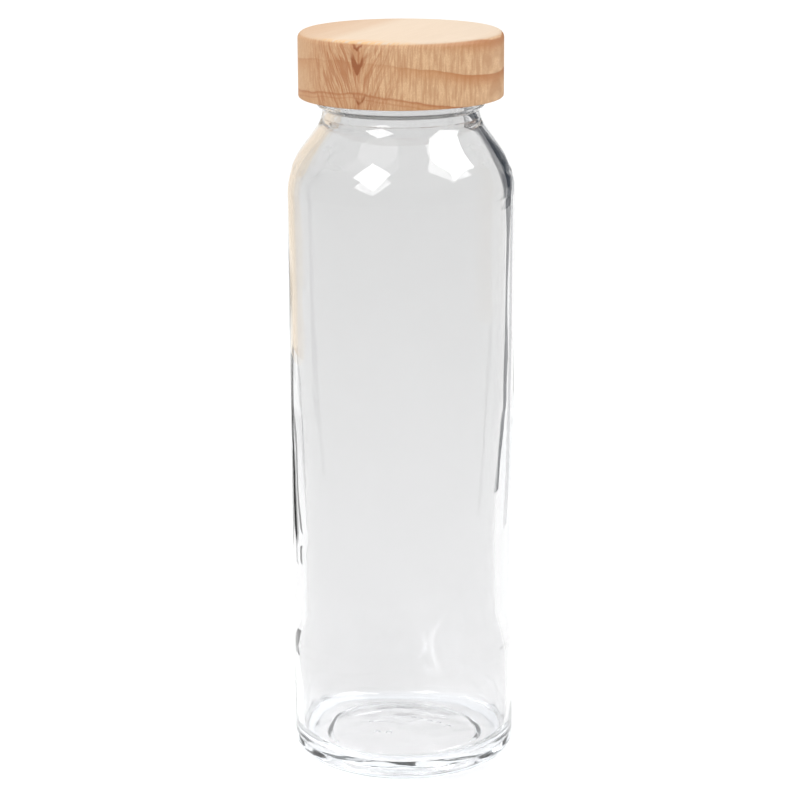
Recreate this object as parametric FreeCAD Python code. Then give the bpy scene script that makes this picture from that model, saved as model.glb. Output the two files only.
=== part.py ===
import FreeCAD, Part
import math
import os

# Half-litre glass water bottle with a screw cap turned from pine.
# Millimetres, +Z up. The origin is on the bottle's axis, in the plane that it stands on.
# The cap is drawn screwed home, and every piece is drawn where it then sits.

# Bottle body, outside
BODY_RADIUS = 33.0
HEEL_RADIUS = 4.0
SHOULDER_CORNER_Z = 177.3
SHOULDER_RADIUS = 21.75
CONE_TOP_RADIUS = 23.18
CONE_TOP_Z = 190.94
CONE_FILLET = 7.5
NECK_RADIUS = 22.6
NECK_BOTTOM_Z = 193.7
NECK_FILLET = 6.0

# Bottle body, inside. Blown glass settles: the wall thickens downwards to a belt, and thins over the heel.
WALL_AT_SHOULDER = 2.2
WALL_AT_MIDDLE = 2.7
WALL_AT_BELT = 4.3
WALL_OVER_HEEL = 2.5
MIDDLE_Z = 108.0
BELT_TOP_Z = 66.0
BELT_BOTTOM_Z = 39.0
OVER_HEEL_Z = 29.0
WAVE_ROUND = 60.0
BELT_ROUND = 9.0
SHOULDER_WALL = 2.8
FLOOR_CENTRE_Z = 5.4
FLOOR_EDGE_Z = 4.8
FLOOR_CORNER_RADIUS = 5.0
INNER_SHOULDER_RADIUS = 17.0
INNER_NECK_FILLET = 6.0

# Push-up under the base: a short conical step, then a shallow dome
PUSH_UP_RADIUS = 23.3
PUSH_UP_STEP = 1.5
PUSH_UP_DEPTH = 2.6
PUSH_UP_ROUND = 0.7

# Finish: the part of the neck that the cap screws on to
BEAD_RADIUS = 24.2
BEAD_FLANK_Z = 194.6
BEAD_BOTTOM_Z = 195.7
BEAD_TOP_Z = 197.7
BEAD_ROUND = 0.9
BEAD_FLANK_ROUND = 0.4
FINISH_RADIUS = 21.4
BORE_RADIUS = 19.2
RIM_Z = 210.15
RIM_ROUND = 1.1

# Screw thread, six turns to the inch, right-handed
PITCH = 25.4 / 6.0
RIB_HEIGHT = 1.2
RIB_CREST_WIDTH = 0.8
RIB_SINK = 0.3
GLASS_RIB_WIDTH = 2.4
GLASS_RIB_TURNS = 1.5
GLASS_RIB_START_DEG = -90.0
INSERT_RIB_WIDTH = 1.9
INSERT_RIB_TURNS = 1.25
INSERT_RIB_START_Z = 200.6
RIB_SPACING = 1.65

# Cap: a turned wooden shell with a moulded liner glued into it
CAP_RADIUS = 29.4
CAP_BOTTOM_Z = 198.1
CAP_TOP_Z = 216.7
CAP_TOP_ROUND = 1.9
CAP_BOTTOM_ROUND = 0.5
SOCKET_RADIUS = 25.65
SOCKET_CEILING_Z = 213.4
SOCKET_CHAMFER = 0.5

# Threaded insert
GLUE_GAP = 0.05
INSERT_INNER_RADIUS = 23.1
INSERT_BOTTOM_Z = 199.1
INSERT_PLATE_Z = 212.0
GLUE_GROOVES = 12
GLUE_GROOVE_WIDTH = 1.6
GLUE_GROOVE_DEPTH = 0.5
SNAP_BEAD_HEIGHT = 0.6
SNAP_BEAD_Z = 209.7

# Seal ring, held above the snap bead
SEAL_GAP = 0.05
SEAL_THICKNESS = 1.75
SEAL_OUTER_RADIUS = 22.9
SEAL_INNER_RADIUS = 18.0
SEAL_EDGE_ROUND = 0.3


def point(radius, z):
    """A point of a half section, which lies in the XZ plane."""
    return FreeCAD.Vector(radius, 0, z)


def rounded_wire(corners):
    """Closed outline through (radius, z, rounding) corners, with a tangent arc at each rounded one."""
    count = len(corners)
    arcs = []
    for i in range(count):
        here = point(corners[i][0], corners[i][1])
        rounding = corners[i][2]
        to_last = (point(*corners[i - 1][:2]) - here).normalize()
        to_next = (point(*corners[(i + 1) % count][:2]) - here).normalize()
        if rounding == 0:
            arcs.append((here, None, here))
            continue
        half_angle = to_last.getAngle(to_next) / 2
        reach = rounding / math.tan(half_angle)
        middle = (to_last + to_next).normalize()
        crown = here + middle * (rounding / math.sin(half_angle) - rounding)
        arcs.append((here + to_last * reach, crown, here + to_next * reach))
    edges = []
    for i in range(count):
        start, crown, end = arcs[i]
        if crown is not None:
            edges.append(Part.Arc(start, crown, end).toShape())
        following = arcs[(i + 1) % count][0]
        if end.distanceToPoint(following) > 1e-6:
            edges.append(Part.LineSegment(end, following).toShape())
    return Part.Wire(edges)


def turned(corners):
    """Solid of revolution about Z from the corners of its half section."""
    face = Part.Face(rounded_wire(corners))
    return face.revolve(FreeCAD.Vector(0, 0, 0), FreeCAD.Vector(0, 0, 1), 360)


def helical_rib(root_radius, crest_radius, root_width, turns, start_z, start_deg):
    """Thread rib with a rounded blunt end. The root is sunk into the wall that carries it."""
    outward = 1 if crest_radius > root_radius else -1
    sunk_radius = root_radius - outward * RIB_SINK
    half_root = root_width / 2
    half_crest = RIB_CREST_WIDTH / 2
    low_root = point(sunk_radius, -half_root)
    high_root = point(sunk_radius, half_root)
    low_crest = point(crest_radius - outward * half_crest / 2, -half_crest)
    high_crest = point(crest_radius - outward * half_crest / 2, half_crest)
    crown = point(crest_radius, 0)
    section = Part.Wire([
        Part.LineSegment(low_root, low_crest).toShape(),
        Part.Arc(low_crest, crown, high_crest).toShape(),
        Part.LineSegment(high_crest, high_root).toShape(),
        Part.LineSegment(high_root, low_root).toShape()])
    spine = Part.Wire(Part.makeHelix(PITCH, PITCH * turns, root_radius).Edges)
    sweep = Part.BRepOffsetAPI.MakePipeShell(spine)
    sweep.setBiNormalMode(FreeCAD.Vector(0, 0, 1))
    sweep.add(section)
    sweep.build()
    sweep.makeSolid()
    rib = sweep.shape()

    upper_half = Part.Wire([
        Part.LineSegment(point(sunk_radius, 0), high_root).toShape(),
        Part.LineSegment(high_root, high_crest).toShape(),
        Part.Arc(high_crest, point(crest_radius - outward * half_crest / 8, half_crest / 2),
                 crown).toShape(),
        Part.LineSegment(crown, point(sunk_radius, 0)).toShape()])
    button = Part.Face(upper_half).revolve(point(0, 0), FreeCAD.Vector(1, 0, 0), 360)
    last_button = button.copy()
    last_button.rotate(point(0, 0), FreeCAD.Vector(0, 0, 1), 360 * turns)
    last_button.translate(point(0, PITCH * turns))
    rib = rib.fuse([button, last_button])
    rib.rotate(point(0, 0), FreeCAD.Vector(0, 0, 1), start_deg)
    rib.translate(point(0, start_z))
    return rib


def glass_bottle():
    """Blown soda-lime glass: thick base with a push-up, round shoulder, bead and threaded finish."""
    slope = math.atan2(BODY_RADIUS - CONE_TOP_RADIUS, CONE_TOP_Z - SHOULDER_CORNER_Z)
    inner_radius = BODY_RADIUS - WALL_AT_SHOULDER
    # The inner cone is the outer one moved inwards by the shoulder's wall.
    cone_drop = SHOULDER_WALL / math.sin(slope)
    inner_shoulder_z = SHOULDER_CORNER_Z - cone_drop + WALL_AT_SHOULDER / math.tan(slope)
    inner_neck_z = inner_shoulder_z + (inner_radius - BORE_RADIUS) / math.tan(slope)
    wall = turned([
        (0, PUSH_UP_DEPTH, 0),
        (PUSH_UP_RADIUS - PUSH_UP_STEP, PUSH_UP_STEP, PUSH_UP_ROUND),
        (PUSH_UP_RADIUS, 0, PUSH_UP_ROUND),
        (BODY_RADIUS, 0, HEEL_RADIUS),
        (BODY_RADIUS, SHOULDER_CORNER_Z, SHOULDER_RADIUS),
        (CONE_TOP_RADIUS, CONE_TOP_Z, CONE_FILLET),
        (NECK_RADIUS, NECK_BOTTOM_Z, NECK_FILLET),
        (NECK_RADIUS, BEAD_FLANK_Z, BEAD_FLANK_ROUND),
        (BEAD_RADIUS, BEAD_BOTTOM_Z, BEAD_ROUND),
        (BEAD_RADIUS, BEAD_TOP_Z, BEAD_ROUND),
        (FINISH_RADIUS, BEAD_TOP_Z, BEAD_ROUND),
        (FINISH_RADIUS, RIM_Z, RIM_ROUND),
        (BORE_RADIUS, RIM_Z, RIM_ROUND),
        (BORE_RADIUS, inner_neck_z, INNER_NECK_FILLET),
        (inner_radius, inner_shoulder_z, INNER_SHOULDER_RADIUS),
        (BODY_RADIUS - WALL_AT_MIDDLE, MIDDLE_Z, WAVE_ROUND),
        (BODY_RADIUS - WALL_AT_BELT, BELT_TOP_Z, WAVE_ROUND),
        (BODY_RADIUS - WALL_AT_BELT, BELT_BOTTOM_Z, BELT_ROUND),
        (BODY_RADIUS - WALL_OVER_HEEL, OVER_HEEL_Z, BELT_ROUND),
        (BODY_RADIUS - WALL_OVER_HEEL, FLOOR_EDGE_Z, FLOOR_CORNER_RADIUS),
        (0, FLOOR_CENTRE_Z, 0)])
    start_z = INSERT_RIB_START_Z + RIB_SPACING + PITCH * GLASS_RIB_START_DEG / 360
    rib = helical_rib(FINISH_RADIUS, FINISH_RADIUS + RIB_HEIGHT, GLASS_RIB_WIDTH,
                      GLASS_RIB_TURNS, start_z, GLASS_RIB_START_DEG)
    return wall.fuse(rib)


def wooden_cap():
    """Shell turned from pine, with a blind socket for the threaded insert."""
    return turned([
        (0, CAP_TOP_Z, 0),
        (0, SOCKET_CEILING_Z, 0),
        (SOCKET_RADIUS, SOCKET_CEILING_Z, 0),
        (SOCKET_RADIUS, CAP_BOTTOM_Z + SOCKET_CHAMFER, 0),
        (SOCKET_RADIUS + SOCKET_CHAMFER, CAP_BOTTOM_Z, 0),
        (CAP_RADIUS, CAP_BOTTOM_Z, CAP_BOTTOM_ROUND),
        (CAP_RADIUS, CAP_TOP_Z, CAP_TOP_ROUND)])


def threaded_insert():
    """Polypropylene cup with the cap's thread, a snap bead for the seal, and glue grooves outside."""
    outer_radius = SOCKET_RADIUS - GLUE_GAP
    shell = turned([
        (0, SOCKET_CEILING_Z, 0),
        (0, INSERT_PLATE_Z, 0),
        (INSERT_INNER_RADIUS, INSERT_PLATE_Z, 0),
        (INSERT_INNER_RADIUS, SNAP_BEAD_Z + SNAP_BEAD_HEIGHT / 2, 0),
        (INSERT_INNER_RADIUS - SNAP_BEAD_HEIGHT, SNAP_BEAD_Z, 0.2),
        (INSERT_INNER_RADIUS, SNAP_BEAD_Z - SNAP_BEAD_HEIGHT, 0),
        (INSERT_INNER_RADIUS, INSERT_BOTTOM_Z, 0.3),
        (outer_radius, INSERT_BOTTOM_Z, 0.3),
        (outer_radius, SOCKET_CEILING_Z, 0.5)])
    rib = helical_rib(INSERT_INNER_RADIUS, INSERT_INNER_RADIUS - RIB_HEIGHT, INSERT_RIB_WIDTH,
                      INSERT_RIB_TURNS, INSERT_RIB_START_Z, 0)
    shell = shell.fuse(rib)
    grooves = []
    height = SOCKET_CEILING_Z - INSERT_BOTTOM_Z
    for i in range(GLUE_GROOVES):
        groove = Part.makeBox(GLUE_GROOVE_DEPTH * 2, GLUE_GROOVE_WIDTH, height - 2,
                              point(outer_radius - GLUE_GROOVE_DEPTH, INSERT_BOTTOM_Z + 2)
                              - FreeCAD.Vector(0, GLUE_GROOVE_WIDTH / 2, 0))
        groove.rotate(point(0, 0), FreeCAD.Vector(0, 0, 1), 360 * i / GLUE_GROOVES)
        grooves.append(groove)
    return shell.cut(grooves)


def seal_ring():
    """Flat silicone ring between the bottle's rim and the insert's plate."""
    bottom = INSERT_PLATE_Z - SEAL_GAP - SEAL_THICKNESS
    top = INSERT_PLATE_Z - SEAL_GAP
    return turned([
        (SEAL_INNER_RADIUS, bottom, SEAL_EDGE_ROUND),
        (SEAL_OUTER_RADIUS, bottom, SEAL_EDGE_ROUND),
        (SEAL_OUTER_RADIUS, top, SEAL_EDGE_ROUND),
        (SEAL_INNER_RADIUS, top, SEAL_EDGE_ROUND)])


os.makedirs("parts", exist_ok=True)
PIECES = {
    "glass_bottle": glass_bottle,
    "wooden_cap": wooden_cap,
    "threaded_insert": threaded_insert,
    "seal_ring": seal_ring}
for name, make in PIECES.items():
    shape = make()
    shape.exportStep(f"parts/{name}.step")
    print(name, shape.ShapeType, len(shape.Solids), "valid", shape.isValid(),
          "cm3", round(shape.Volume / 1000, 2))
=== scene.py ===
import math
import bmesh
import bpy
from mathutils import Matrix, Vector


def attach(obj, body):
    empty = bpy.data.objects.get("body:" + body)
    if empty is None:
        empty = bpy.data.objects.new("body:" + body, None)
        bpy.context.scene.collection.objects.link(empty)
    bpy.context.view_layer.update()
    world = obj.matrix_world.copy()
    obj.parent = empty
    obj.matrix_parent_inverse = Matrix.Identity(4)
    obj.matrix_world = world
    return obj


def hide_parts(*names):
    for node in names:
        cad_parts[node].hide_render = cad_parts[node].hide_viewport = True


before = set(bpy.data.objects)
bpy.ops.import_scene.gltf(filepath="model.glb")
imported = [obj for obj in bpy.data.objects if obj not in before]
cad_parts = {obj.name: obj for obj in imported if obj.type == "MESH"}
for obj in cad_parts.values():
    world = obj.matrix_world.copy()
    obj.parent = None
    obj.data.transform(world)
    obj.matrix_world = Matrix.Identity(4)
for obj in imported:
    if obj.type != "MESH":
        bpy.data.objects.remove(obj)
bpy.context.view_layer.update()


# ---------------------------------------------------------------------------------------------
# Camera. A long lens looking down on the bottle from about three quarters of a metre away,
# leaning by a quarter of a degree, as hand-set tripods do.

CAMERA_DISTANCE = 0.733
CAMERA_HEIGHT = 0.308
CAMERA_PITCH = math.radians(15.28)
CAMERA_YAW = math.radians(0.056)
CAMERA_ROLL = math.radians(-0.27)
CAMERA_LENS = 115.8

camera = bpy.data.objects.new("camera", bpy.data.cameras.new("camera"))
bpy.context.scene.collection.objects.link(camera)
camera.data.lens = CAMERA_LENS
camera.matrix_world = (
    Matrix.Translation((0, -CAMERA_DISTANCE, CAMERA_HEIGHT))
    @ Matrix.Rotation(CAMERA_YAW, 4, "Z")
    @ Matrix.Rotation(math.pi / 2 - CAMERA_PITCH, 4, "X")
    @ Matrix.Rotation(CAMERA_ROLL, 4, "Z"))
bpy.context.scene.camera = camera
bpy.context.scene.view_settings.view_transform = "Standard"


# ---------------------------------------------------------------------------------------------
# Glass bottle. Blown soda-lime glass: a thick base with a push-up, a wall that settled into a
# thicker belt low down, a round shoulder, and a fire-polished finish with a screw thread.

MM = 0.001
GLASS_SIDES = 192
BODY_RADIUS = 33.0
FINISH_RADIUS = 21.4
FINISH_LOW_Z = 199.3
FINISH_HIGH_Z = 209.0
RIM_Z = 210.15
BORE_RADIUS = 19.2
PUSH_UP_TOP = 2.6
RING_STEP = 3.0
FINE_RING_STEP = 0.3
SHARP_EDGE = math.radians(40)
CAVITY_SHIFT = 0.5
WAVE_HEIGHT = 0.10
THREAD_PITCH = 25.4 / 6
THREAD_HEIGHT = 1.2
THREAD_TURNS = 1.5
THREAD_START_Z = 200.6 + 1.65 - THREAD_PITCH / 4
THREAD_START = -math.pi / 2
RIB_CREST_HALF = 0.35
RIB_FOOT_HALF = 1.15
# Glass tints. The grey is painted lighter towards the bottom, and the heel ring is painted lighter and
# bluer still: painted light.
GREY_HIGH = (0.78, 0.78, 0.78, 1)
GREY_LOW_PAINTED_LIGHT = (0.845, 0.845, 0.85, 1)
GREY_HEEL_PAINTED_LIGHT = (0.90, 0.925, 0.955, 1)
IRON_TINT = (0.90, 0.96, 1.0, 1.0)
BASE_DOTS = [(3.0 + 2.6 * i, 8.0 - 1.1 * i, 0.9) for i in range(4)] + [
    (13.5, 2.0, 1.1), (-10.0, 4.0, 0.8), (-7.0, 4.2, 0.8), (-8.0, -3.5, 1.1), (-4.5, -4.0, 1.1)]


def start_outline(radius, z):
    """Puts down the first point of a half section, and leaves it in edit mode."""
    bpy.ops.object.select_all(action="DESELECT")
    bpy.ops.mesh.primitive_circle_add(vertices=3, radius=MM, fill_type="NOTHING")
    bpy.ops.object.mode_set(mode="EDIT")
    bpy.ops.mesh.select_mode(type="VERT")
    bpy.ops.mesh.select_all(action="SELECT")
    bpy.ops.mesh.merge(type="CENTER")
    bpy.ops.transform.translate(value=(radius * MM, 0, z * MM))


def select_where(test, parts="verts"):
    """Selects only the vertices, edges or faces that pass the test."""
    bpy.ops.mesh.select_all(action="DESELECT")
    mesh = bmesh.from_edit_mesh(bpy.context.object.data)
    found = [part for part in getattr(mesh, parts) if test(part)]
    for part in found:
        part.select_set(True)
    mesh.select_flush_mode()
    bmesh.update_edit_mesh(bpy.context.object.data)
    return len(found)


def turn_on_lathe(name, corners, sides, arc_step, longest=1000.0):
    """Solid of revolution from (radius, z, rounding) corners in millimetres, closed at its poles."""
    start_outline(*corners[0][:2])
    for last, here in zip(corners, corners[1:]):
        step = ((here[0] - last[0]) * MM, 0, (here[1] - last[1]) * MM)
        bpy.ops.mesh.extrude_region_move(TRANSFORM_OT_translate={"value": step})
    for last, (radius, z, rounding), after in zip(corners, corners[1:], corners[2:]):
        if rounding == 0:
            continue
        here = Vector((radius, z))
        half_angle = (Vector(last[:2]) - here).angle(Vector(after[:2]) - here) / 2
        place = Vector((radius * MM, 0, z * MM))
        select_where(lambda v: (v.co - place).length < 0.0001 * MM)
        bpy.ops.mesh.bevel(
            offset=rounding / math.tan(half_angle) * MM, affect="VERTICES",
            segments=max(2, math.ceil((math.pi - 2 * half_angle) / arc_step)))
    while select_where(lambda e: e.calc_length() > longest * MM, "edges"):
        bpy.ops.mesh.subdivide(number_cuts=1)
    bpy.ops.mesh.select_all(action="SELECT")
    bpy.ops.mesh.spin(steps=sides, angle=2 * math.pi, center=(0, 0, 0), axis=(0, 0, 1))
    bpy.ops.mesh.select_all(action="SELECT")
    bpy.ops.mesh.remove_doubles(threshold=0.002 * MM)
    bpy.ops.mesh.normals_make_consistent(inside=False)
    bpy.ops.object.mode_set(mode="OBJECT")
    piece = bpy.context.object
    piece.name = name
    piece.data.name = name
    bpy.ops.object.shade_smooth_by_angle(angle=SHARP_EDGE)
    return piece


def smooth_step(low, high, value):
    """Rises from 0 at low to 1 at high, level at both ends."""
    part = min(1.0, max(0.0, (value - low) / (high - low)))
    return part * part * (3 - 2 * part)


def group_of(piece, name, weight):
    """Vertex group on the piece, with each vertex's weight worked out from its place in mm."""
    group = piece.vertex_groups.new(name=name)
    for vertex in piece.data.vertices:
        group.add([vertex.index], weight(vertex.co / MM), "REPLACE")


def thread_weight(place):
    """How far up the thread's rib a point on the finish is: 0 off the rib, 1 on its crest."""
    radius = math.hypot(place.x, place.y)
    if abs(radius - FINISH_RADIUS) > 0.05:
        return 0.0
    around = (math.atan2(place.y, place.x) - THREAD_START) % (2 * math.pi)
    height = 0.0
    for turn in (0, 1):
        turned = around / (2 * math.pi) + turn
        off_centre = abs(place.z - THREAD_START_Z - THREAD_PITCH * turned)
        end = min(turned, THREAD_TURNS - turned)
        rib = smooth_step(RIB_FOOT_HALF, RIB_CREST_HALF, off_centre) * smooth_step(-0.004, 0.012, end)
        height = max(height, rib)
    return height


def cavity_weight(place):
    """1 on the inside of the body, falling to 0 towards the neck and the floor."""
    radius = math.hypot(place.x, place.y)
    inside = 10 < place.z < 190 and radius < 31.5
    if not inside:
        return 0.0
    return smooth_step(10, 30, place.z) * smooth_step(190, 165, place.z)


glass = turn_on_lathe("bottle_glass", [
    (0, PUSH_UP_TOP, 0),
    (21.8, 1.5, 0.7),
    (23.3, 0, 0.7),
    (BODY_RADIUS, 0, 4.0),
    (BODY_RADIUS, 177.3, 21.75),
    (23.18, 190.94, 7.5),
    (22.9, 192.3, 0.05),
    (22.93, 192.45, 0.05),
    (22.82, 192.6, 0.05),
    (22.6, 193.7, 5.0),
    (22.6, 194.6, 0.4),
    (24.2, 195.7, 0.9),
    (24.2, 197.7, 0.9),
    (FINISH_RADIUS, 197.7, 0.9),
    (FINISH_RADIUS, FINISH_LOW_Z, 0),
    (FINISH_RADIUS, FINISH_HIGH_Z, 0),
    (FINISH_RADIUS, RIM_Z, 1.1),
    (BORE_RADIUS, RIM_Z, 1.1),
    (BORE_RADIUS, 191.8, 6.0),
    (30.8, 175.7, 17.0),
    (30.3, 108, 60),
    (28.7, 66, 60),
    (28.7, 39, 50),
    (30.5, 29, 50),
    (30.5, 4.8, 5.0),
    (0, 5.4, 0)], GLASS_SIDES, math.radians(5), RING_STEP)



def steep_finish_edge(edge):
    """Whether the edge runs up the finish, is longer than a fine ring step, and so needs a cut."""
    lower, upper = sorted(vertex.co.z for vertex in edge.verts)
    on_finish = all(abs(v.co.xy.length / MM - FINISH_RADIUS) < 0.01 for v in edge.verts)
    within = FINISH_LOW_Z - 0.1 < lower / MM and upper / MM < FINISH_HIGH_Z + 0.1
    return on_finish and within and upper - lower > FINE_RING_STEP * MM


bpy.ops.object.mode_set(mode="EDIT")
bpy.ops.mesh.select_mode(type="EDGE")
for cuts in range(3):
    select_where(steep_finish_edge, "edges")
    bpy.ops.mesh.subdivide(number_cuts=1)
bpy.ops.object.mode_set(mode="OBJECT")

group_of(glass, "thread", thread_weight)
group_of(glass, "cavity", cavity_weight)
thread_rib = glass.modifiers.new("thread", "DISPLACE")
thread_rib.vertex_group = "thread"
thread_rib.mid_level = 0.0
thread_rib.strength = THREAD_HEIGHT * MM
off_centre = glass.modifiers.new("cavity off centre", "DISPLACE")
off_centre.vertex_group = "cavity"
off_centre.direction = "X"
off_centre.mid_level = 0.0
off_centre.strength = -CAVITY_SHIFT * MM
waves = bpy.data.textures.new("settled_glass", "CLOUDS")
waves.noise_scale = 0.034
waves.noise_depth = 1
wavy_wall = glass.modifiers.new("wavy wall", "DISPLACE")
wavy_wall.vertex_group = "cavity"
wavy_wall.texture = waves
wavy_wall.mid_level = 0.5
wavy_wall.strength = WAVE_HEIGHT * MM
for modifier in ("thread", "cavity off centre", "wavy wall"):
    bpy.ops.object.modifier_apply(modifier=modifier)
bpy.ops.object.shade_smooth_by_angle(angle=SHARP_EDGE)
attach(glass, "bottle")
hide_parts("glass_bottle")
glass.visible_shadow = False


class Value:
    """Wraps a shader socket, so that a material's sums can be written as sums."""

    def __init__(self, tree, socket=None):
        self.tree = tree
        self.socket = socket

    def node(self, kind, settings, inputs):
        """Adds any node: its type, its settings, then its sockets' values and links."""
        new = self.tree.nodes.new(kind)
        for name, setting in settings.items():
            setattr(new, name, setting)
        for name, given in inputs.items():
            if isinstance(given, Value):
                self.tree.links.new(given.socket, new.inputs[name])
            else:
                new.inputs[name].default_value = given
        return new

    def of(self, node, output=0):
        """The value that comes out of a node."""
        return Value(self.tree, node.outputs[output])

    def maths(self, operation, *given):
        """Maths node on this value and the others given."""
        settings = {"operation": operation}
        return self.of(self.node("ShaderNodeMath", settings, dict(enumerate((self,) + given))))

    def __add__(self, other):
        return self.maths("ADD", other)

    __radd__ = __add__

    def __mul__(self, other):
        return self.maths("MULTIPLY", other)

    __rmul__ = __mul__

    def __sub__(self, other):
        return self.maths("SUBTRACT", other)

    def __rsub__(self, other):
        return self * -1.0 + other

    def __truediv__(self, other):
        return self.maths("DIVIDE", other)

    def __rtruediv__(self, other):
        return self.maths("POWER", -1.0) * other

    def __abs__(self):
        return self.maths("ABSOLUTE")

    def __pow__(self, other):
        return self.maths("POWER", other)

    def top(self, other):
        """The larger of the two."""
        return self.maths("MAXIMUM", other)

    def rise(self, low, high):
        """Smooth step from 0 at low to 1 at high; falls when low is the larger."""
        ends = {"Value": self, "From Min": low, "From Max": high}
        if low > high:
            ends = {"Value": self, "From Min": high, "From Max": low, "To Min": 1.0, "To Max": 0.0}
        return self.of(self.node("ShaderNodeMapRange", {"interpolation_type": "SMOOTHSTEP"}, ends))

    def bell(self, middle, half):
        """1 at the middle, falling smoothly to 0 at half the width away."""
        return abs(self - middle).rise(half, 0.0)

    def place(self, x_scale=1.0, y_scale=1.0, z_scale=1.0):
        """Object coordinates in millimetres, stretched per axis."""
        coordinates = self.of(self.node("ShaderNodeTexCoord", {}, {}), "Object")
        scale = Vector((x_scale, y_scale, z_scale)) / MM
        return self.of(self.node("ShaderNodeMapping", {}, {"Vector": coordinates, "Scale": scale}))

    def axes(self):
        """This vector's three parts."""
        parts = self.node("ShaderNodeSeparateXYZ", {}, {"Vector": self})
        return [self.of(parts, i) for i in range(3)]

    def joined(self, y, z):
        """Vector with this value as its X."""
        return self.of(self.node("ShaderNodeCombineXYZ", {}, {0: self, 1: y, 2: z}))

    def noise(self, scale, detail=2.0, roughness=0.5):
        """Cloudy noise around 0.5, read at this vector."""
        return self.of(self.node("ShaderNodeTexNoise", {}, {
            "Vector": self, "Scale": scale, "Detail": detail, "Roughness": roughness}))

    def mix(self, first, second):
        """Colour that goes from the first to the second as this value goes from 0 to 1."""
        mixer = self.node("ShaderNodeMix", {"data_type": "RGBA"}, {0: self, 6: first, 7: second})
        return self.of(mixer, 2)


def new_material(name, constants):
    """Material with a Principled shader; gives the shader and a Value to build with."""
    material = bpy.data.materials.new(name)
    material.use_nodes = True
    shader = material.node_tree.nodes["Principled BSDF"]
    for socket, constant in constants.items():
        shader.inputs[socket].default_value = constant
    return material, shader, Value(material.node_tree)


def feed(shader, value, socket):
    """Drives one of the shader's sockets with a value."""
    value.tree.links.new(value.socket, shader.inputs[socket])


def bump(shader, height, depth, strength=1.0):
    """Relief on the shader's normal. The height runs 0 to 1 over the depth in millimetres."""
    relief = height.node("ShaderNodeBump", {}, {
        "Strength": strength, "Distance": depth * MM, "Height": height})
    feed(shader, height.of(relief), "Normal")


clear_glass, shader, start = new_material("clear_glass", {
    "Transmission Weight": 1.0, "IOR": 1.52})
spot = start.place()
x, y, z = spot.axes()
radius = (x * x + y * y) ** 0.5
scuffed_ring = z.rise(0.35, 0.1) * radius.bell(26.2, 3.6) * spot.noise(1.5, 2.0)
smears = spot.noise(0.035, 3.0).rise(0.62, 0.8)
feed(shader, scuffed_ring * 0.25 + smears * 0.012, "Roughness")
# Painted light: the grey tint lightens towards the bottom, and the heel ring gets a lighter, bluer tint.
grey = (z * 0.9 + spot.noise(0.02, 1.0) * 40.0).rise(200.0, 0.0)
grey = grey.mix(GREY_HIGH, GREY_LOW_PAINTED_LIGHT)
heel = z.rise(7.0, 4.0) * radius.rise(26.0, 30.0)
feed(shader, heel.mix(grey, GREY_HEEL_PAINTED_LIGHT), "Base Color")
pulled = start.place(1.0, 1.0, 0.25).noise(0.09, 1.0)
moulded_dots = z * 0.0
for dot_x, dot_y, dot_radius in BASE_DOTS:
    off_x = x - dot_x
    off_y = y - dot_y
    dot = ((off_x * off_x + off_y * off_y) ** 0.5).rise(dot_radius, dot_radius * 0.3)
    moulded_dots = moulded_dots.top(dot)
bump(shader, pulled + moulded_dots * z.rise(4.0, 3.2) * 1.6, 0.25)
glass.data.materials.append(clear_glass)
thickness_tint = start.node("ShaderNodeVolumeAbsorption", {}, {"Color": IRON_TINT, "Density": 4.0})
clear_glass.node_tree.links.new(
    thickness_tint.outputs[0], clear_glass.node_tree.nodes["Material Output"].inputs["Volume"])


# ---------------------------------------------------------------------------------------------
# Wooden cap. Turned from a flat-sawn pine board and fine-sanded, with no varnish: growth rings
# cross the side as sloping bands, and torn end grain shows as streaks that meet in a point.

CAP_SIDES = 256
CAP_RADIUS = 29.4
CAP_TOP_Z = 216.7
CAP_BOTTOM_Z = 198.1
SOCKET_RADIUS = 25.65
SOCKET_CEILING_Z = 213.4
GRAIN = Vector((-0.407, -0.914, 0.0))
ACROSS = Vector((0.914, -0.407, 0.0))
RING_CENTRE_U = -5.0
RING_CENTRE_Z = 96.5
RING_START = 106.0
RING_WIDTH = 9.0
KNOT_MARKS = ((207.6, 7.0, 3.6, 1.9), (214.0, 2.8, 1.4, 1.1), (198.7, 5.0, 1.2, 1.5))
SIDE_BROWN = (0.50, 0.295, 0.155, 1)
SIDE_PALE = (0.60, 0.385, 0.225, 1)
# Top face colours: the face grain's own paler tone, with a painted sheen that makes them greyer than the
# side.
TOP_BROWN_AND_SHEEN = (0.60, 0.465, 0.335, 1)
TOP_PALE_AND_SHEEN = (0.67, 0.535, 0.405, 1)
TORN_FIBRE = (0.72, 0.48, 0.28, 1)
FIBRE_SHADE = (0.36, 0.155, 0.055, 1)
PORE_BROWN = (0.40, 0.18, 0.07, 1)
LATE_BROWN = (0.43, 0.185, 0.062, 1)
LATE_RED = (0.40, 0.15, 0.045, 1)
RING_BROWN = (0.30, 0.10, 0.03, 1)
FIRST_RING_BROWN = (0.33, 0.10, 0.03, 1)
FINE_BROWN = (0.38, 0.155, 0.055, 1)
BROAD_BROWN = (0.40, 0.16, 0.06, 1)
LONG_BROWN = (0.34, 0.12, 0.04, 1)
KNOT_BROWN = (0.27, 0.085, 0.025, 1)
ARC_BROWN = (0.50, 0.27, 0.12, 1)
RIM_GOLD = (0.70, 0.38, 0.12, 1)

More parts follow.
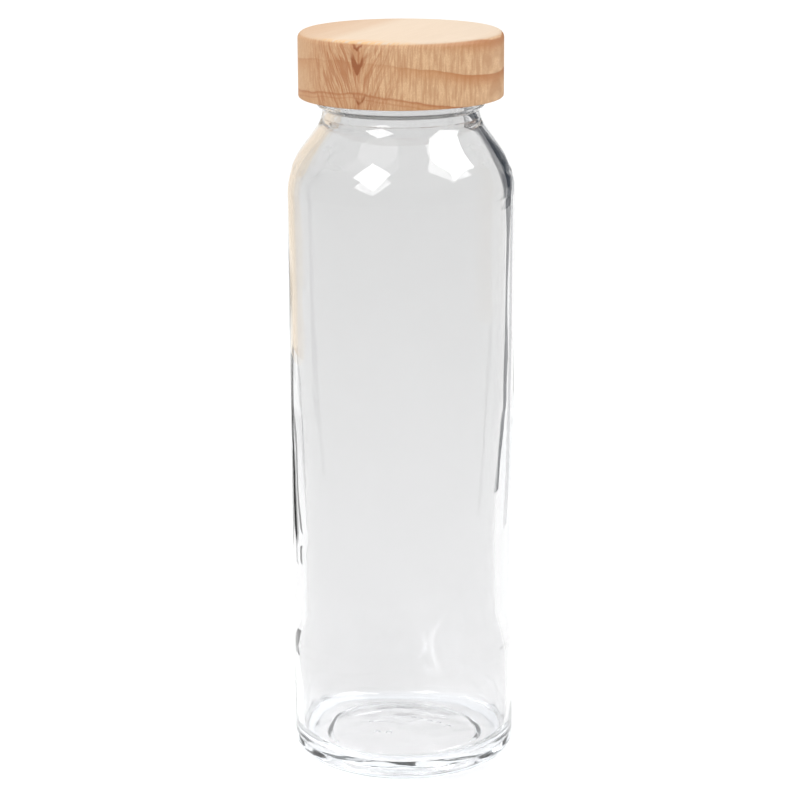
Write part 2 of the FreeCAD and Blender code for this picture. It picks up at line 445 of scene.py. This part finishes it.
cap = turn_on_lathe("wooden_cap_shell", [
    (0, CAP_TOP_Z, 0),
    (CAP_RADIUS, CAP_TOP_Z, 1.9),
    (CAP_RADIUS, CAP_BOTTOM_Z, 0.5),
    (SOCKET_RADIUS + 0.5, CAP_BOTTOM_Z, 0.1),
    (SOCKET_RADIUS, CAP_BOTTOM_Z + 0.5, 0),
    (SOCKET_RADIUS, SOCKET_CEILING_Z, 0),
    (0, SOCKET_CEILING_Z, 0)], CAP_SIDES, math.radians(15))
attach(cap, "cap")
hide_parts("wooden_cap")

pine, shader, start = new_material("pine", {"IOR": 1.45, "Specular IOR Level": 0.35})
x, y, z = start.place().axes()
u = x * ACROSS.x + y * ACROSS.y
along = x * GRAIN.x + y * GRAIN.y
top_face = z.rise(215.9, 216.55)
side = 1.0 - top_face
end_grain = (along / 29.5).rise(0.35, 0.95)

drift = u.joined(z, along * 0.15).noise(0.11, 2.0) - 0.5
ripple = u.joined(z, along * 0.2).noise(0.55, 2.0) - 0.5
ring_u = u - RING_CENTRE_U
ring_z = z - RING_CENTRE_Z
ring_radius = (ring_u * ring_u + ring_z * ring_z) ** 0.5 + drift * 2.2 + ripple * 0.5
ring = ((ring_radius - RING_START) / RING_WIDTH).maths("FRACT")
faded = 0.22 + 0.78 * abs(u + 2.0).rise(7.0, 22.0)
late_wood = ring.rise(0.42, 0.98) * ring.rise(1.0, 0.975) * faded
ring_line = ring.rise(0.88, 0.96) * ring.rise(1.0, 0.985) * (0.35 + 0.9 * abs(drift * 2.0))
first_ring = ring_radius.bell(RING_START - 0.25, 0.55).top(ring_radius.bell(RING_START - 1.5, 0.4) * 0.6)

lean = (u / 7.0) * 0.42 * (0.5 - (u / 7.0) * (u / 7.0) * 0.5).maths("EXPONENT")
streak_u = u - lean * (z - 207.5) + drift * 0.8 + ripple * 0.35
broad_streaks = streak_u.joined(z * 0.10, 1.0).noise(0.55, 1.0).rise(0.48, 0.62)
long_streaks = streak_u.joined(z * 0.09, 0.0).noise(1.2, 1.0, 0.6).rise(0.49, 0.57)
fine_streaks = streak_u.joined(z * 0.14, 5.0).noise(1.9, 1.0, 0.6).rise(0.46, 0.58)
fibre_dashes = (u + ripple * 0.2).joined(z * 0.07, 7.0).noise(2.0, 1.0, 0.6)
pores = u.joined(z * 0.8, along * 0.6).noise(4.2, 1.0, 0.7)
streak_zone = (u + 4.0).bell(0.0, 22.0) * end_grain * side
dash_zone = (u + 2.0).rise(-6.0, 9.0) * side

knots = side * 0.0
for foot_z, tall, thick, steep in KNOT_MARKS:
    rise_above = z - foot_z - abs(u + drift * 2.2) * steep + drift * 1.6 + ripple * 3.2
    arm = u.rise(1.5, -1.5) * (thick * 0.4) + thick * 0.6
    arms = rise_above.rise(-0.5, 0.7) * (arm - rise_above).rise(-0.9, 0.9)
    arms = arms * z.rise(foot_z + tall + 0.6, foot_z + tall * 0.35) * (0.5 + 1.3 * broad_streaks)
    knots = knots.top(arms * end_grain * side)

top_grain = u.joined(along * 0.06, z).noise(0.9, 3.0, 0.6)
top_hatch = (u * 1.9 + along * 0.5).joined(along * 0.15, 2.0).noise(0.8, 1.0).rise(0.42, 0.55)
near_front_rim = (along - abs(u) * 0.1).rise(20.5, 27.5) * top_face
left_arcs = top_face * ring.rise(0.25, 0.90) * ring.rise(1.0, 0.97) * u.rise(-7.0, -15.0)

late_edge = late_wood * ring.rise(0.62, 0.9) * u.rise(20.0, 27.0)

colour = top_grain.mix(SIDE_BROWN, SIDE_PALE)
for cover, over in (
        # The top face: its grain tone plus a painted sheen.
        (top_face, top_grain.mix(TOP_BROWN_AND_SHEEN, TOP_PALE_AND_SHEEN)),
        (fibre_dashes.rise(0.50, 0.60) * dash_zone * (pores - 0.05), TORN_FIBRE),
        (fibre_dashes.rise(0.48, 0.38) * dash_zone * 0.30, FIBRE_SHADE),
        (pores.rise(0.60, 0.42) * side * 0.22, PORE_BROWN),
        (late_wood * side * 0.62, LATE_BROWN),
        (late_edge * side * 0.55, LATE_RED),
        (ring_line * side * 0.30, RING_BROWN),
        (first_ring * side * 0.50, FIRST_RING_BROWN),
        (fine_streaks * streak_zone * 0.42, FINE_BROWN),
        (broad_streaks * streak_zone * 0.30, BROAD_BROWN),
        (long_streaks * streak_zone * 0.62, LONG_BROWN),
        (knots * 0.85, KNOT_BROWN),
        (left_arcs * 0.7, ARC_BROWN),
        (top_hatch * near_front_rim * 0.6, RIM_GOLD)):
    colour = cover.mix(colour, over)
feed(shader, colour, "Base Color")
feed(shader, 0.52 - late_wood * 0.1 + pores * 0.12, "Roughness")
bump(shader, pores * 0.4 + fibre_dashes * 0.4 + fine_streaks * 0.2 + top_grain * 0.3, 0.12, 0.8)
cap.data.materials.append(pine)


# ---------------------------------------------------------------------------------------------
# Threaded insert. White polypropylene, injection moulded and glued into the cap's socket; its
# skin has the faint flow marks and sparkle of a moulding.

plastic, shader, start = new_material("white_polypropylene", {
    "IOR": 1.49, "Subsurface Weight": 0.12, "Subsurface Radius": (0.004, 0.004, 0.003)})
spot = start.place()
flow = start.place(1.0, 1.0, 0.2).noise(0.16, 2.0)
sparkle = spot.noise(4.0, 1.0)
feed(shader, flow.mix((0.80, 0.79, 0.76, 1), (0.86, 0.85, 0.83, 1)), "Base Color")
feed(shader, 0.32 + flow * 0.08 + sparkle * 0.06, "Roughness")
bump(shader, sparkle, 0.01, 0.6)
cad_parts["threaded_insert"].data.materials.clear()
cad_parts["threaded_insert"].data.materials.append(plastic)


# ---------------------------------------------------------------------------------------------
# Seal ring. Milky silicone, die-cut from sheet. It lies loose in the insert behind its snap
# bead, so it rises with the cap and need not turn with it.

silicone, shader, start = new_material("silicone", {
    "IOR": 1.41, "Subsurface Weight": 0.3, "Subsurface Radius": (0.003, 0.003, 0.003)})
milk = start.place().noise(0.4, 3.0)
dust = start.place().noise(6.0, 2.0).rise(0.62, 0.75)
feed(shader, milk.mix((0.70, 0.70, 0.68, 1), (0.78, 0.78, 0.77, 1)), "Base Color")
feed(shader, 0.42 + milk * 0.1 + dust * 0.15, "Roughness")
bump(shader, dust, 0.02, 0.4)
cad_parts["seal_ring"].data.materials.clear()
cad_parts["seal_ring"].data.materials.append(silicone)


# ---------------------------------------------------------------------------------------------
# Table top. A plain sheet of matt white card, large enough to fill every view.

bpy.ops.object.select_all(action="DESELECT")
bpy.ops.mesh.primitive_circle_add(vertices=96, radius=6.0, fill_type="NGON", location=(0, 0, -0.1 * MM))
floor = bpy.context.object
floor.name = "table_top"
card, shader, start = new_material("white_card", {"Specular IOR Level": 0.0})
fibres = start.place().noise(0.02, 3.0)
feed(shader, fibres.mix((0.82, 0.82, 0.82, 1), (0.84, 0.84, 0.84, 1)), "Base Color")
feed(shader, 0.85 + fibres * 0.1, "Roughness")
floor.data.materials.append(card)


# ---------------------------------------------------------------------------------------------
# Light. A white backdrop all round, two softboxes behind the camera's left and right shoulder,
# a weak one overhead, and black and cream cards beside the bottle that give clear glass its dark
# and warm edges; the cream card glows faintly, which is painted light. The cards go round with the
# camera, so no other view shows them.

LIGHT_AIM = Vector((0, 0, 0.15))
CARD_RADIUS = 0.13


def towards(azimuth, elevation):
    """Unit vector; azimuth in degrees from +Y, the far side, round towards +X."""
    level = math.cos(math.radians(elevation))
    return Vector((
        math.sin(math.radians(azimuth)) * level,
        math.cos(math.radians(azimuth)) * level,
        math.sin(math.radians(elevation))))


def softbox(name, azimuth, elevation, distance, width, height, turned, radiance, fills=False):
    """Area light aimed at the shoulder, turned about its own axis; one that fills lights paint too."""
    light = bpy.data.lights.new(name, "AREA")
    light.shape = "RECTANGLE"
    light.size = width
    light.size_y = height
    light.energy = radiance * math.pi * width * height
    lamp = bpy.data.objects.new(name, light)
    bpy.context.scene.collection.objects.link(lamp)
    out = towards(azimuth, elevation)
    lamp.matrix_world = (
        Matrix.Translation(LIGHT_AIM + out * distance)
        @ out.to_track_quat("Z", "Y").to_matrix().to_4x4()
        @ Matrix.Rotation(math.radians(turned), 4, "Z"))
    lamp.visible_camera = False
    lamp.visible_diffuse = fills


def standing_card(name, edge, last, colour, painted_glow=0.0):
    """Card beside the bottle, from an edge of (azimuth, height) points round to a last azimuth; a glow
    above 0 is painted light.
    """
    first_azimuth, first_z = edge[0]
    start_outline(0, 0)
    here = towards(first_azimuth, 0) * CARD_RADIUS + Vector((0, 0, first_z))
    bpy.ops.transform.translate(value=here)
    for azimuth, z in edge[1:]:
        there = towards(azimuth, 0) * CARD_RADIUS + Vector((0, 0, z))
        bpy.ops.mesh.extrude_region_move(TRANSFORM_OT_translate={"value": there - here})
        here = there
    bpy.ops.mesh.select_all(action="SELECT")
    far = towards(last, 0) * CARD_RADIUS - towards(first_azimuth, 0) * CARD_RADIUS
    bpy.ops.mesh.extrude_region_move(TRANSFORM_OT_translate={"value": far})
    bpy.ops.object.mode_set(mode="OBJECT")
    piece = bpy.context.object
    piece.name = name
    piece.parent = camera
    piece.matrix_parent_inverse = camera.matrix_world.inverted()
    piece.visible_camera = False
    piece.visible_shadow = False
    piece.visible_diffuse = False
    paint = new_material(name, {
        "Base Color": colour, "Roughness": 0.9, "Specular IOR Level": 0.0,
        "Emission Color": colour, "Emission Strength": painted_glow})[0]
    piece.data.materials.append(paint)


softbox("left_softbox", -145, 38.5, 0.9, 0.43, 0.43, 64, 7.5)
softbox("right_softbox", 103, 46, 0.9, 0.50, 0.52, 0, 7.5)
softbox("top_softbox", -120, 75, 1.1, 0.9, 0.9, 0, 0.9, fills=True)
standing_card("right_black_card", [
    (56, 0.036), (50, 0.055), (44, 0.100), (42, 0.155)], 66, (0.03, 0.036, 0.046, 1))
standing_card("right_shoulder_card", [
    (46, 0.147), (40, 0.151), (33, 0.158), (29, 0.175), (27, 0.194), (25, 0.203), (20, 0.215),
    (18, 0.30)], 76, (0.05, 0.058, 0.072, 1))
standing_card("left_black_card", [
    (-45.5, 0.021), (-42.5, 0.028), (-39, 0.042), (-36, 0.062), (-34, 0.094)],
    -54, (0.07, 0.07, 0.07, 1))
# The cream card glows faintly: painted light that brightens its warm reflection in the glass.
standing_card("left_cream_card_painted_glow", [(-34, 0.0945), (-32, 0.14), (-24, 0.20), (-20, 0.30)],
              -72, (0.75, 0.66, 0.55, 1), 0.3)

world = bpy.data.worlds.new("studio")
bpy.context.scene.world = world
world.use_nodes = True
start = Value(world.node_tree)
backdrop = world.node_tree.nodes["Background"]
up = start.of(start.node("ShaderNodeTexCoord", {}, {}), "Generated").axes()[2]
feed(backdrop, up.rise(0.25, 0.6).mix((1.06, 1.06, 1.06, 1), (1.34, 1.34, 1.34, 1)), "Color")

# Light goes round the thick heel by many inner reflections before it comes out.
bpy.context.scene.cycles.max_bounces = 32
bpy.context.scene.cycles.transmission_bounces = 32
bpy.context.scene.cycles.glossy_bounces = 32
